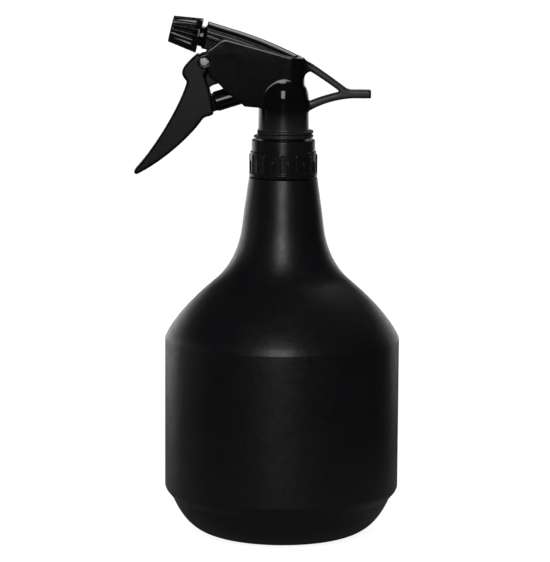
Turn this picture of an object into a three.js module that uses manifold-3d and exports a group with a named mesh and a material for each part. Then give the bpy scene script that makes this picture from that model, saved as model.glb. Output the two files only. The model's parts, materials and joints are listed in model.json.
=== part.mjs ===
// Hand mister: a blow-moulded bottle with a trigger pump head.
// Millimetres, +Z up, origin on the bottle's axis where it stands, nozzle towards -X.

import * as THREE from 'three';
import { mergeVertices } from 'three/addons/utils/BufferGeometryUtils.js';
import Module from 'manifold-3d';

const wasm = await Module();
wasm.setup();

// ---- Driving dimensions ----

const RUNNING_GAP = 0.3;

const bottle = {
  footRadius: 33, notchRadius: 54.4, notchZ: 17.2, wallRadius: 58.5,
  wallLowZ: 23, wallHighZ: 97.2, creaseRadius: 36, creaseZ: 125.3,
  neckLowRadius: 20.8, neckLowZ: 150.5, neckRadius: 16.9, neckTopZ: 179.1,
  wall: 1.2, segments: 32,
};
const finish = {
  rootRadius: 12.7, boreRadius: 10.8, landZ: 190,
  threadRadius: 12.9, threadSection: 0.9, threadPitch: 4.2, threadTurns: 1.25, threadLowZ: 182,
};
const collar = {
  radius: 17, ribRoot: 16.4, lowZ: 179.6, baseTopZ: 181.9, bandTopZ: 192.2,
  ribs: 24, ribWidth: 1.4, ribTopZ: [187.8, 191.2], firstRib: THREE.MathUtils.degToRad(9),
  upperRadius: 15.8, topZ: 198, boreRadius: 14.2, lipZ: 195, lipRadius: 11.3,
};
const stem = {
  radius: 12.5, boreRadius: 5.6, neckRadius: 11, footZ: 192.2, flangeRadius: 13.2, flangeTopZ: 194.6,
  rimRadius: 14.9, rimGroove: 14, rimLowZ: 199, rimTopZ: 202.6, domeZ: 215.6, domeHeight: 16,
};
const plate = { halfWidth: 9, innerHalfWidth: 7.4, rearX: 10.2, earRadius: 3.6, floorZ: 216 };
const pivot = { x: -39.2, z: 236.8, pinRadius: 1.9, pinHalfLength: 9.3 };
const hook = { halfWidth: 4.5, tailX: 43.2, tailLowZ: 218.8, tailTopZ: 222.8 };
const barrel = { halfWidth: 7, edgeRound: 3, footZ: 233.9, boreRadius: 2.2, wellRadius: 3.3, wellTopZ: 240.3 };
const nozzle = {
  x: -42.05, z: 249.15, tilt: THREE.MathUtils.degToRad(13.75),
  length: 14.3, rearStart: -0.4, rearRadius: 8.6, frontRadius: 6.6, boreRadius: 5.6, boreDepth: 11, flutes: 16, fluteRadius: 1.1,
  stubRadius: 5, stubEnd: 6.3, grooveRadius: 4.1, rootRingRadius: 5.9, rootRingEnd: -2.4,
};
const pump = {
  x: -35.5, z: 216, tilt: THREE.MathUtils.degToRad(17.5),
  sleeveRadius: 6.4, boreRadius: 5.45, glandStart: 15.6, glandLength: 2, boreEnd: 35.5,
  pistonRadius: 4.9, pistonStart: 2, pistonEnd: 26, hollowRadius: 3.5, hollowStart: 4.5,
  sealStarts: [19.7, 23.7], sealWidth: 1.2, linkDistance: -1.6, linkPinRadius: 1.5,
};
const valve = {
  blockRadius: 7, blockTopZ: 233.6, chamberRadius: 3.2, chamberLowZ: 219.5, chamberTopZ: 230.2,
  outletRadius: 1.8, seatRadius: 5.2, seatLowZ: 200, ballRadius: 2.6, ballZ: 216.35,
};
const tube = { outerRadius: 3, innerRadius: 2, lowZ: 8.3, topZ: 212, strainerRadius: 4.6, strainerLowZ: 3 };
const trigger = { halfWidth: 6.6, cheek: 1.4, ribHalfWidth: 1.2, slotReach: 0.7 };

// ---- Solids ----

const FINE = 28;
const MEDIUM = 18;
const SMALL = 12;

// Joins and cuts work on solids, and a piece becomes a three.js geometry at the end.
function toSolid(shape) {
  if (shape instanceof wasm.Manifold) return shape;
  const bare = shape.index ? shape.toNonIndexed() : shape.clone();
  bare.deleteAttribute('normal');
  bare.deleteAttribute('uv');
  const merged = mergeVertices(bare, 1e-4);
  return new wasm.Manifold(new wasm.Mesh({
    numProp: 3,
    vertProperties: merged.attributes.position.array,
    triVerts: new Uint32Array(merged.index.array),
  }));
}

function toGeometry(solid) {
  const mesh = solid.getMesh();
  const geometry = new THREE.BufferGeometry();
  geometry.setAttribute('position', new THREE.BufferAttribute(mesh.vertProperties, 3));
  geometry.setIndex(new THREE.BufferAttribute(mesh.triVerts, 1));
  geometry.computeVertexNormals();
  return geometry;
}

function joined(...shapes) {
  return shapes.map(toSolid).reduce((sum, solid) => sum.add(solid));
}

function cut(shape, ...tools) {
  return tools.map(toSolid).reduce((rest, tool) => rest.subtract(tool), toSolid(shape));
}

function common(first, second) {
  return toSolid(first).intersect(toSolid(second));
}

// A profile of [radius, height] points turned about +Z.
function turned(profile, segments = MEDIUM) {
  const points = profile.map(([radius, height]) => new THREE.Vector2(radius, height));
  return new THREE.LatheGeometry(points, segments).rotateX(Math.PI / 2);
}

// A tube's profile closes on itself, so its first point is repeated.
function ring(innerRadius, outerRadius, low, high, segments = MEDIUM) {
  return turned([
    [innerRadius, low], [outerRadius, low], [outerRadius, high], [innerRadius, high], [innerRadius, low],
  ], segments);
}

function rod(radius, low, high, segments = MEDIUM) {
  return turned([[0, low], [radius, low], [radius, high], [0, high]], segments);
}

function crossRod(radius, x, z, halfLength, segments = MEDIUM) {
  return rod(radius, -halfLength, halfLength, segments).rotateX(Math.PI / 2).translate(x, 0, z);
}

// A side outline, drawn in X and Z, given thickness from y = low to y = high.
function slab(outline, low, high, curveSegments = 6) {
  const options = { depth: high - low, bevelEnabled: false, curveSegments };
  return new THREE.ExtrudeGeometry(outline, options).rotateX(Math.PI / 2).translate(0, high, 0);
}

// A plan outline, drawn in X and Y, raised from z = low to z = high.
function raised(outline, low, high, curveSegments = 6) {
  const options = { depth: high - low, bevelEnabled: false, curveSegments };
  return new THREE.ExtrudeGeometry(outline, options).translate(0, 0, low);
}

function polygon(points) {
  return new THREE.Shape(points.map(([x, y]) => new THREE.Vector2(x, y)));
}

// The plan of a channel that is straight towards -X and round at its rear end.
function channelPlan(halfWidth, rearX, frontX = -60) {
  const outline = new THREE.Shape();
  const roundStart = rearX - halfWidth;
  outline.moveTo(frontX, -halfWidth);
  outline.lineTo(roundStart, -halfWidth);
  outline.absarc(roundStart, 0, halfWidth, -Math.PI / 2, Math.PI / 2, false);
  outline.lineTo(frontX, halfWidth);
  outline.closePath();
  return outline;
}

class Helix extends THREE.Curve {
  constructor(radius, low, high, turns) {
    super();
    Object.assign(this, { radius, low, high, turns });
  }

  getPoint(t, target = new THREE.Vector3()) {
    const angle = t * this.turns * 2 * Math.PI;
    const height = THREE.MathUtils.lerp(this.low, this.high, t);
    return target.set(this.radius * Math.cos(angle), this.radius * Math.sin(angle), height);
  }
}

function coil(radius, sectionRadius, low, high, turns, stepsPerTurn = 9) {
  const section = new THREE.Shape().absarc(0, 0, sectionRadius, 0, 2 * Math.PI);
  return new THREE.ExtrudeGeometry(section, {
    steps: Math.round(turns * stepsPerTurn),
    curveSegments: 3,
    bevelEnabled: false,
    extrudePath: new Helix(radius, low, high, turns),
  });
}

// The pump's and the nozzle's pieces are made about +Z and swung onto these inclined axes.
const pumpSwing = Math.PI / 2 - pump.tilt;
const nozzleSwing = nozzle.tilt - Math.PI / 2;

function onPumpAxis(geometry) {
  return geometry.rotateY(pumpSwing).translate(pump.x, 0, pump.z);
}

function onNozzleAxis(geometry) {
  return geometry.rotateY(nozzleSwing).translate(nozzle.x, 0, nozzle.z);
}

const linkPoint = {
  x: pump.x + pump.linkDistance * Math.cos(pump.tilt),
  z: pump.z + pump.linkDistance * Math.sin(pump.tilt),
};

// ---- Finishes ----

function plastic(color, roughness) {
  return new THREE.MeshStandardMaterial({ color, roughness, metalness: 0 });
}

const finishes = {
  bottleBlack: plastic(0x17181a, 0.42),
  headBlack: plastic(0x101113, 0.2),
  triggerGrey: plastic(0x35322f, 0.45),
  natural: plastic(0xd9dde2, 0.4),
  white: plastic(0xf2f2ee, 0.5),
  rubber: plastic(0x2b2b2b, 0.85),
  steel: new THREE.MeshStandardMaterial({ color: 0xb9bcc0, roughness: 0.28, metalness: 1 }),
};

function piece(name, shape, material) {
  const mesh = new THREE.Mesh(toGeometry(toSolid(shape)), material);
  mesh.name = name;
  return mesh;
}

// ---- Bottle and its closure ----

function bottleShape() {
  const b = bottle;
  const inner = b.wallRadius - b.wall;
  const path = new THREE.Path();
  path.moveTo(0, 0);
  path.lineTo(b.footRadius, 0);
  path.quadraticCurveTo(46.5, 0, b.notchRadius, b.notchZ);
  path.lineTo(57.9, 21.5);
  path.lineTo(b.wallRadius, b.wallLowZ);
  path.lineTo(b.wallRadius, b.wallHighZ);
  path.lineTo(57.8, 99.8);
  path.quadraticCurveTo(50.9, 112.4, b.creaseRadius, b.creaseZ);
  path.quadraticCurveTo(24.4, 134, b.neckLowRadius, b.neckLowZ);
  path.lineTo(b.neckRadius, b.neckTopZ);
  path.lineTo(finish.rootRadius, b.neckTopZ);
  path.lineTo(finish.rootRadius, finish.landZ);
  path.lineTo(finish.boreRadius, finish.landZ);
  path.lineTo(finish.boreRadius, b.neckTopZ - 1.3);
  path.lineTo(b.neckRadius - 1.4, b.neckTopZ - 1.8);
  path.lineTo(b.neckLowRadius - b.wall, b.neckLowZ);
  path.quadraticCurveTo(23.4, 133, b.creaseRadius - 0.9, b.creaseZ - 1);
  path.quadraticCurveTo(49.8, 111.6, 56.6, 99.3);
  path.lineTo(inner, b.wallHighZ - 0.4);
  path.lineTo(inner, b.wallLowZ + 0.3);
  path.lineTo(b.notchRadius - 1.2, b.notchZ + 0.7);
  path.quadraticCurveTo(45.9, b.wall, b.footRadius, b.wall);
  path.lineTo(0, b.wall);
  const body = turned(path.getPoints(4).map(({ x, y }) => [x, y]), b.segments);
  const threadTopZ = finish.threadLowZ + finish.threadPitch * finish.threadTurns;
  const thread = coil(finish.threadRadius, finish.threadSection, finish.threadLowZ, threadTopZ,
    finish.threadTurns, 20);
  return joined(body, thread);
}

// Short and long ribs take turns round the collar's band.
function collarShape() {
  const c = collar;
  const body = turned([
    [c.boreRadius, c.lowZ], [c.radius, c.lowZ], [c.radius, c.baseTopZ], [c.ribRoot, c.baseTopZ],
    [c.ribRoot, c.bandTopZ], [c.upperRadius, c.bandTopZ], [c.upperRadius, c.topZ - 0.5],
    [c.upperRadius - 0.5, c.topZ], [c.lipRadius, c.topZ], [c.lipRadius, c.lipZ],
    [c.boreRadius, c.lipZ], [c.boreRadius, c.lowZ],
  ], 2 * c.ribs);
  const ribs = [];
  for (let i = 0; i < c.ribs; i += 1) {
    const low = c.baseTopZ - 0.5;
    const height = c.ribTopZ[i % 2] - low;
    const rib = new THREE.BoxGeometry(1.4, c.ribWidth, height);
    rib.translate(c.radius - 0.7, 0, low + height / 2).rotateZ(c.firstRib + i / c.ribs * 2 * Math.PI);
    ribs.push(rib);
  }
  return joined(body, ...ribs);
}

// ---- Pump head ----

// The stem, its flanges and the dome above it, as one turned solid.
function stemProfile() {
  const s = stem;
  const points = [
    [0, s.footZ], [s.flangeRadius, s.footZ], [s.flangeRadius, s.flangeTopZ], [s.neckRadius, s.flangeTopZ],
    [s.neckRadius, s.rimLowZ], [s.rimRadius, s.rimLowZ], [s.rimRadius, s.rimLowZ + 1.3],
    [s.rimGroove, s.rimLowZ + 1.5], [s.rimGroove, s.rimLowZ + 2], [s.rimRadius, s.rimLowZ + 2.2],
    [s.rimRadius, s.rimTopZ], [s.radius, s.rimTopZ + 0.4],
  ];
  const domeSteps = 8;
  for (let i = 0; i <= domeSteps; i += 1) {
    const angle = i / domeSteps * Math.PI / 2;
    points.push([s.radius * Math.cos(angle), s.domeZ + s.domeHeight * Math.sin(angle)]);
  }
  points[points.length - 1][0] = 0;
  return points;
}

// The side view of the plates that carry the trigger and close in the pump.
function plateOutline() {
  const outline = new THREE.Shape();
  outline.moveTo(-37.2, 243.2);
  outline.bezierCurveTo(-33.5, 244.6, -32.5, 247.8, -28.2, 247.5);
  outline.quadraticCurveTo(-12, 242.8, 1, 239);
  outline.lineTo(plate.rearX, 238.2);
  outline.lineTo(plate.rearX, 213);
  outline.lineTo(-12, 214.2);
  outline.lineTo(-19.5, 214.8);
  outline.lineTo(-20.5, 216);
  outline.lineTo(-29.1, 222.5);
  outline.quadraticCurveTo(-32, 226.5, -36.6, 229.3);
  outline.lineTo(pivot.x + plate.earRadius * Math.sin(0.4), pivot.z - plate.earRadius * Math.cos(0.4));
  outline.absarc(pivot.x, pivot.z, plate.earRadius, 0.4 - Math.PI / 2, 0.5 * Math.PI, true);
  outline.closePath();
  return outline;
}

function hookOutline() {
  const outline = new THREE.Shape();
  outline.moveTo(6, 240.1);
  outline.lineTo(9.5, 238.4);
  outline.quadraticCurveTo(20, 231.6, 31, 223.3);
  outline.quadraticCurveTo(32, hook.tailTopZ, 34.1, hook.tailTopZ);
  outline.lineTo(hook.tailX - 0.5, hook.tailTopZ);
  outline.lineTo(hook.tailX, hook.tailTopZ - 0.5);
  outline.lineTo(hook.tailX, hook.tailLowZ);
  outline.lineTo(33.5, hook.tailLowZ);
  outline.quadraticCurveTo(22, 217.8, 13, 212.6);
  outline.lineTo(6, 212.6);
  outline.closePath();
  return outline;
}

// The opening between the dome, the spine and the hook's lower bar.
function hookLoop() {
  const loop = new THREE.Shape();
  loop.moveTo(8, 229.5);
  loop.lineTo(10, 229.2);
  loop.quadraticCurveTo(11, 231.4, 13.2, 231.9);
  loop.lineTo(26.6, 222.9);
  loop.quadraticCurveTo(27.6, 221.9, 26.3, 221.4);
  loop.quadraticCurveTo(19, 219.6, 13.1, 217.2);
  loop.lineTo(9, 217.2);
  loop.closePath();
  return loop;
}

function housingShape() {
  const outer = common(
    slab(plateOutline(), -plate.halfWidth, plate.halfWidth),
    raised(channelPlan(plate.halfWidth, plate.rearX), 200, 260, 12),
  );
  const arm = cut(
    slab(hookOutline(), -hook.halfWidth, hook.halfWidth),
    slab(hookLoop(), -plate.halfWidth, plate.halfWidth),
  );
  const body = joined(turned(stemProfile(), FINE), outer, arm);
  const cavity = raised(channelPlan(plate.innerHalfWidth, plate.innerHalfWidth), plate.floorZ, 260, 12);
  const frontGap = new THREE.BoxGeometry(30, 2 * plate.innerHalfWidth, 20).translate(-28, 0, 212);
  const bore = rod(stem.boreRadius, stem.footZ - 5, plate.floorZ + 5);
  const pinHole = crossRod(pivot.pinRadius + RUNNING_GAP, pivot.x, pivot.z, 20, SMALL);
  return cut(body, cavity, frontGap, bore, pinHole);
}

function barrelOutline() {
  const outline = new THREE.Shape();
  outline.moveTo(-39.4, 243.1);
  outline.lineTo(-8.3, 235.4);
  outline.lineTo(-6.9, barrel.footZ);
  outline.lineTo(6.9, barrel.footZ);
  outline.lineTo(6.9, 239.7);
  outline.quadraticCurveTo(-13, 249.7, -37.4, 256.3);
  outline.closePath();
  return outline;
}

function barrelShape() {
  const round = barrel.edgeRound;
  const options = {
    depth: 2 * (barrel.halfWidth - round), bevelEnabled: true, bevelThickness: round, bevelSize: round,
    bevelOffset: -round, bevelSegments: 3, curveSegments: 6,
  };
  const bar = new THREE.ExtrudeGeometry(barrelOutline(), options);
  bar.rotateX(Math.PI / 2).translate(0, barrel.halfWidth - round, 0);
  const plan = raised(channelPlan(barrel.halfWidth, barrel.halfWidth), 220, 270, 12);
  const stub = onNozzleAxis(turned([
    [0, -8], [nozzle.rootRingRadius, -8], [nozzle.rootRingRadius, nozzle.rootRingEnd],
    [nozzle.stubRadius, nozzle.rootRingEnd], [nozzle.stubRadius, 3.2], [nozzle.grooveRadius, 3.2],
    [nozzle.grooveRadius, 4.8], [nozzle.stubRadius, 4.8], [nozzle.stubRadius, nozzle.stubEnd],
    [0, nozzle.stubEnd],
  ]));
  const wellDistance = nozzle.x / Math.cos(nozzle.tilt);
  const passage = onNozzleAxis(rod(barrel.boreRadius, wellDistance, nozzle.stubEnd + 5, SMALL));
  const well = rod(barrel.wellRadius, barrel.footZ - 5, barrel.wellTopZ, SMALL);
  return cut(joined(common(bar, plan), stub), passage, well);
}

// ---- Pump ----

function cylinderShape() {
  const p = pump;
  const sleeveStart = p.glandStart + p.glandLength + RUNNING_GAP;
  const sleeve = onPumpAxis(rod(p.sleeveRadius, sleeveStart, p.boreEnd));
  const block = rod(valve.blockRadius, plate.floorZ + RUNNING_GAP, valve.blockTopZ);
  const bore = onPumpAxis(rod(p.boreRadius, sleeveStart - 5, p.boreEnd));
  const socket = rod(valve.seatRadius + RUNNING_GAP, plate.floorZ - 5, valve.chamberLowZ);
  const chamber = rod(valve.chamberRadius, valve.chamberLowZ - 1, valve.chamberTopZ, SMALL);
  const outlet = rod(valve.outletRadius, valve.chamberTopZ - 1, valve.blockTopZ + 5, SMALL);
  return cut(joined(sleeve, block), bore, socket, chamber, outlet);
}

function pistonShape() {
  const p = pump;
  const grooveRadius = p.pistonRadius - 0.8;
  const profile = [[0, p.pistonStart], [p.pistonRadius, p.pistonStart]];
  for (const start of p.sealStarts) {
    const grooveStart = start - RUNNING_GAP;
    const grooveEnd = start + p.sealWidth + RUNNING_GAP;
    profile.push([p.pistonRadius, grooveStart], [grooveRadius, grooveStart]);
    profile.push([grooveRadius, grooveEnd], [p.pistonRadius, grooveEnd]);
  }
  profile.push([p.pistonRadius, p.pistonEnd], [p.hollowRadius, p.pistonEnd]);
  profile.push([p.hollowRadius, p.hollowStart], [0, p.hollowStart]);
  const plunger = turned(profile);
  // The fork's outline runs in X across the axis and in Z along it.
  const fork = new THREE.Shape();
  fork.moveTo(-4.3, p.pistonStart + 0.5);
  fork.lineTo(-4.3, p.linkDistance + 1);
  fork.absarc(0, p.linkDistance, 3, Math.PI, 2 * Math.PI, false);
  fork.lineTo(4.3, p.linkDistance + 1);
  fork.lineTo(4.3, p.pistonStart + 0.5);
  fork.closePath();
  const pinHole = crossRod(p.linkPinRadius + RUNNING_GAP, 0, p.linkDistance, 20, SMALL);
  return cut(joined(plunger, slab(fork, 1.6, 3.4), slab(fork, -3.4, -1.6)), pinHole);
}

// ---- Trigger ----

function triggerOutline() {
  const outline = new THREE.Shape();
  outline.moveTo(-43, 240.2);
  outline.quadraticCurveTo(-47, 236.9, -49.4, 233.8);
  outline.quadraticCurveTo(-51.2, 231, -49.2, 228.4);
  outline.lineTo(-48, 226.6);
  outline.bezierCurveTo(-51.3, 214.5, -63.6, 193.8, -73.6, 183);
  outline.quadraticCurveTo(-74.6, 181.2, -72.7, 180.6);
  outline.bezierCurveTo(-62.5, 185.2, -47, 197.8, -39.7, 208.4);
  outline.lineTo(-34.7, 210.8);
  outline.quadraticCurveTo(-35.6, 221.5, -39, 229.7);
  outline.lineTo(-36.1, 234.2);
  outline.absarc(pivot.x, pivot.z, 4.05, -0.7, 2.3, false);
  outline.closePath();
  return outline;
}

// The hollow behind the trigger's front wall, open at its rear.
function triggerPocket() {
  const outline = new THREE.Shape();
  outline.moveTo(-46, 225.4);
  outline.bezierCurveTo(-49.3, 214.5, -61.6, 194.6, -71.6, 183.2);
  outline.lineTo(-66, 176);
  outline.lineTo(-25, 190);
  outline.lineTo(-25, 229.4);
  outline.lineTo(-40.5, 229.4);
  outline.closePath();
  return outline;
}

// The web down the middle of the trigger, with its boss round the link pin.
function triggerRib() {
  const outline = new THREE.Shape();
  const boss = 3.05;
  outline.moveTo(-46.4, 229);
  outline.lineTo(-51.6, 210.5);
  outline.quadraticCurveTo(-46, 212.5, linkPoint.x, linkPoint.z - trigger.slotReach - boss);
  outline.absarc(linkPoint.x, linkPoint.z - trigger.slotReach, boss, -Math.PI / 2, 0, false);
  outline.lineTo(linkPoint.x + boss, linkPoint.z + trigger.slotReach);
  outline.lineTo(-37.6, 222.6);
  outline.quadraticCurveTo(-35.6, 225.2, -31.2, 225.6);
  outline.lineTo(-29.6, 227.8);
  outline.lineTo(-35.8, 232.8);
  outline.closePath();
  return outline;
}

function linkSlot() {
  const radius = pump.linkPinRadius + 0.35;
  const outline = new THREE.Shape();
  outline.absarc(linkPoint.x, linkPoint.z + trigger.slotReach, radius, 0, Math.PI, false);
  outline.absarc(linkPoint.x, linkPoint.z - trigger.slotReach, radius, Math.PI, 2 * Math.PI, false);
  outline.closePath();
  return outline;
}

function triggerShape() {
  const inner = trigger.halfWidth - trigger.cheek;
  const shell = cut(
    slab(triggerOutline(), -trigger.halfWidth, trigger.halfWidth, 10),
    slab(triggerPocket(), -inner, inner, 10),
  );
  const rib = slab(triggerRib(), -trigger.ribHalfWidth, trigger.ribHalfWidth, 5);
  const pinHole = crossRod(pivot.pinRadius + RUNNING_GAP, pivot.x, pivot.z, 20, SMALL);
  return cut(joined(shell, rib), pinHole, slab(linkSlot(), -3, 3, 6));
}

// ---- Nozzle, in its own frame: +Z is the spray direction ----

function nozzleCapShape() {
  const n = nozzle;
  const mouth = 2.2;
  const body = turned([
    [n.boreRadius, n.rearStart], [n.rearRadius - 0.5, n.rearStart], [n.rearRadius, n.rearStart + 0.6],
    [n.frontRadius, n.length - 0.5],
    [n.frontRadius - 0.6, n.length], [mouth + 1.2, n.length], [mouth, n.length - 1.6],
    [mouth, n.boreDepth], [n.boreRadius, n.boreDepth], [n.boreRadius, n.rearStart],
  ], FINE);
  const slope = Math.atan((n.rearRadius - n.frontRadius) / n.length);
  const flutes = [];
  for (let i = 0; i < n.flutes; i += 1) {
    const flute = rod(n.fluteRadius, 1.5, n.length + 4, 6).rotateY(-slope);
    flute.translate(n.rearRadius + 0.5, 0, 0).rotateZ(i / n.flutes * 2 * Math.PI);
    flutes.push(flute);
  }
  return cut(body, ...flutes);
}

function oRingShape() {
  const middle = 4.85;
  const section = 0.43;
  const points = [];
  for (let i = 0; i <= 8; i += 1) {
    const angle = i / 8 * 2 * Math.PI;
    points.push([middle + section * Math.cos(angle), 4 + section * Math.sin(angle)]);
  }
  points[8] = points[0];
  return turned(points);
}

// ---- Valves and dip tube ----

function inletSeatShape() {
  const socket = tube.outerRadius + 0.35;
  return turned([
    [socket, valve.seatLowZ], [valve.seatRadius, valve.seatLowZ], [valve.seatRadius, valve.chamberLowZ - 0.3],
    [3.5, valve.chamberLowZ - 0.3], [3.5, 215.2], [1.8, 214], [1.8, tube.topZ + RUNNING_GAP],
    [socket, tube.topZ + RUNNING_GAP], [socket, valve.seatLowZ],
  ]);
}

function outletValveShape() {
  const seatZ = valve.blockTopZ + RUNNING_GAP;
  return turned([
    [0, seatZ - 2.2], [1.3, seatZ - 1.8], [1.3, seatZ], [2.7, seatZ], [2.7, seatZ + 1.3],
    [1.1, seatZ + 1.3], [1.1, seatZ + 3.2], [0, seatZ + 3.2],
  ], SMALL);
}

function strainerShape() {
  const t = tube;
  const bore = t.outerRadius + 0.35;
  const cup = turned([
    [0, t.strainerLowZ], [t.strainerRadius - 0.6, t.strainerLowZ], [t.strainerRadius, t.strainerLowZ + 0.8],
    [t.strainerRadius, 16], [bore, 16], [bore, t.lowZ - RUNNING_GAP], [2.4, t.lowZ - RUNNING_GAP],
    [2.4, t.strainerLowZ + 1.2], [0, t.strainerLowZ + 1.2],
  ]);
  const slots = [0, Math.PI / 2].map((angle) => (
    new THREE.BoxGeometry(20, 1.6, 2.6).translate(0, 0, 6).rotateZ(angle)
  ));
  return cut(cup, ...slots);
}

// ---- Assembly ----

const model = new THREE.Group();
model.add(
  piece('bottle', bottleShape(), finishes.bottleBlack),
  piece('gasket', ring(10.9, 13.4, finish.landZ + RUNNING_GAP, stem.footZ - RUNNING_GAP, FINE), finishes.rubber),
  piece('collar', collarShape(), finishes.headBlack),
  piece('pump_housing', housingShape(), finishes.headBlack),
  piece('discharge_barrel', barrelShape(), finishes.headBlack),
  piece('pump_cylinder', cylinderShape(), finishes.headBlack),
  piece('trigger', triggerShape(), finishes.triggerGrey),
  piece('pivot_pin', crossRod(pivot.pinRadius, pivot.x, pivot.z, pivot.pinHalfLength), finishes.white),
  piece('inlet_valve_seat', inletSeatShape(), finishes.natural),
  piece('inlet_ball', new THREE.SphereGeometry(valve.ballRadius, 12, 8), finishes.steel),
  piece('outlet_valve', outletValveShape(), finishes.natural),
  piece('outlet_spring', coil(1.9, 0.3, 235.7, 239.6, 4), finishes.steel),
  piece('dip_tube', ring(tube.innerRadius, tube.outerRadius, tube.lowZ, tube.topZ), finishes.natural),
  piece('suction_strainer', strainerShape(), finishes.natural),
);
model.getObjectByName('inlet_ball').position.z = valve.ballZ;

const pumpGroup = new THREE.Group();
pumpGroup.position.set(pump.x, 0, pump.z);
pumpGroup.rotation.y = pumpSwing;
const glandEnd = pump.glandStart + pump.glandLength;
pumpGroup.add(
  piece('cylinder_gland', ring(pump.pistonRadius + RUNNING_GAP, pump.sleeveRadius, pump.glandStart, glandEnd),
    finishes.headBlack),
  piece('piston', pistonShape(), finishes.headBlack),
  piece('piston_spring', coil(2.8, 0.4, pump.hollowStart + 0.8, pump.boreEnd - 0.8, 7), finishes.steel),
  piece('link_pin', crossRod(pump.linkPinRadius, 0, pump.linkDistance, 4), finishes.steel),
);
['piston_seal_front', 'piston_seal_rear'].forEach((name, i) => {
  const start = pump.sealStarts[i];
  const seal = ring(pump.pistonRadius - 0.5, pump.boreRadius - RUNNING_GAP, start, start + pump.sealWidth);
  pumpGroup.add(piece(name, seal, finishes.rubber));
});

const nozzleGroup = new THREE.Group();
nozzleGroup.position.set(nozzle.x, 0, nozzle.z);
nozzleGroup.rotation.y = nozzleSwing;
nozzleGroup.add(
  piece('nozzle_cap', nozzleCapShape(), finishes.headBlack),
  piece('orifice_disc', turned([
    [0.6, 9], [5.2, 9], [5.2, 10.7], [1.4, 10.7], [0.6, 9.8], [0.6, 9],
  ]), finishes.natural),
  piece('nozzle_o_ring', oRingShape(), finishes.rubber),
  piece('swirl_core', turned([
    [0, -2], [1.2, -2], [1.2, 4], [1.9, 4], [1.9, 6.8], [0, 6.8],
  ], SMALL), finishes.natural),
);
model.add(pumpGroup, nozzleGroup);

export default model;
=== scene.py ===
"""Hand mister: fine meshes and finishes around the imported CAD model.

Shapes are drawn in millimetres in the model's own frame (+Z up, nozzle towards -X) and turned into
metres when each mesh is made. Turned pieces come from profiles, and moulded ones from distance fields.
"""

import json
import math

import bmesh
import bpy
import numpy as np
import openvdb
from mathutils import Matrix, Vector


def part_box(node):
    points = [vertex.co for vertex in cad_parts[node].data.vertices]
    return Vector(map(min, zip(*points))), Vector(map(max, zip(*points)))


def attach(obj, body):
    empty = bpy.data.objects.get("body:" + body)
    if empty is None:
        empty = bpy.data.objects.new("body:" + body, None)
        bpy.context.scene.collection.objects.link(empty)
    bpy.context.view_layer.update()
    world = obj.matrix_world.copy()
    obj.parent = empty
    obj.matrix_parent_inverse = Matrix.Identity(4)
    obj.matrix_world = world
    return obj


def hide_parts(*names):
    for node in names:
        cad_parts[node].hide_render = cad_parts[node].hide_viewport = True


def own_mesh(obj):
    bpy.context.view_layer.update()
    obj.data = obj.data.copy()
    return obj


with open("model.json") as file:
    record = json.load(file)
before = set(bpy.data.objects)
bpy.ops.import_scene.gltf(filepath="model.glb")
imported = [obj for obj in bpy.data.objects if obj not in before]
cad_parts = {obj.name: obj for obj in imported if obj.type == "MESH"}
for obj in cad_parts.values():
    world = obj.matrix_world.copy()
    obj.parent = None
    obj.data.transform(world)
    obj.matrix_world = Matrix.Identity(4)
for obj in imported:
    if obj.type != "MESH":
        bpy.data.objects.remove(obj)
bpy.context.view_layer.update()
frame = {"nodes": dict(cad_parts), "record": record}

MM = 0.001


# ---- Places taken from the frame ----

def box_mm(node):
    low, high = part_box(node)
    return [v / MM for v in low], [v / MM for v in high]


def joint_named(name):
    return next(j for j in frame["record"]["behaviour"]["joints"] if j["name"] == name)


def swing_onto(axis, origin_mm):
    """The placement that swings local +Z onto an axis in the XZ plane, at an origin in millimetres."""
    angle = math.atan2(axis[0], axis[2])
    return Matrix.Translation(Vector(origin_mm) * MM) @ Matrix.Rotation(angle, 4, "Y")


pump_axis = joint_named("piston_slide")["axis"]
nozzle_joint = joint_named("nozzle_turn")
nozzle_axis = nozzle_joint["axis"]
NOZZLE_ORIGIN = [v / MM for v in nozzle_joint["pos_m"]]
PIVOT = [v / MM for v in joint_named("trigger_pull")["pos_m"]]
PUMP_ORIGIN = (-35.5, 0, 216)
PUMP_PLACE = swing_onto(pump_axis, PUMP_ORIGIN)
NOZZLE_PLACE = swing_onto(nozzle_axis, NOZZLE_ORIGIN)
IN_PLACE = Matrix.Identity(4)

# The nozzle seal's distance along the nozzle's axis.
SEAL_RING_PLACE = 4.0

# The link pin, by its distance along the pump's axis and then by its X and Z.
LINK_DISTANCE = -1.6
LINK = (PUMP_ORIGIN[0] + LINK_DISTANCE * pump_axis[0], PUMP_ORIGIN[2] + LINK_DISTANCE * pump_axis[2])


# ---- Finishes ----

# A paler base colour for the satin zones: a painted sheen that stands in for the light their rougher surface
# spreads.
SATIN_PAINTED_SHEEN_TONE = (0.03, 0.03, 0.031, 1)
SATIN_ROUGHNESS = 0.28


def new_material(name):
    material = bpy.data.materials.new(name)
    material.use_nodes = True
    tree = material.node_tree
    shader = tree.nodes["Principled BSDF"]
    return material, tree, shader


def node(tree, kind, values=None, **settings):
    made = tree.nodes.new(kind)
    for key, value in settings.items():
        setattr(made, key, value)
    for key, value in (values or {}).items():
        made.inputs[key].default_value = value
    return made


def noise(tree, scale, detail=3.0, roughness=0.5, stretch=(1, 1, 1)):
    """Noise in the piece's own coordinates, in metres: scale is features per metre."""
    coordinates = node(tree, "ShaderNodeTexCoord")
    mapping = node(tree, "ShaderNodeMapping", {"Scale": stretch})
    made = node(tree, "ShaderNodeTexNoise", {"Scale": scale, "Detail": detail, "Roughness": roughness})
    tree.links.new(coordinates.outputs["Object"], mapping.inputs["Vector"])
    tree.links.new(mapping.outputs["Vector"], made.inputs["Vector"])
    return made.outputs["Fac"]


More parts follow.
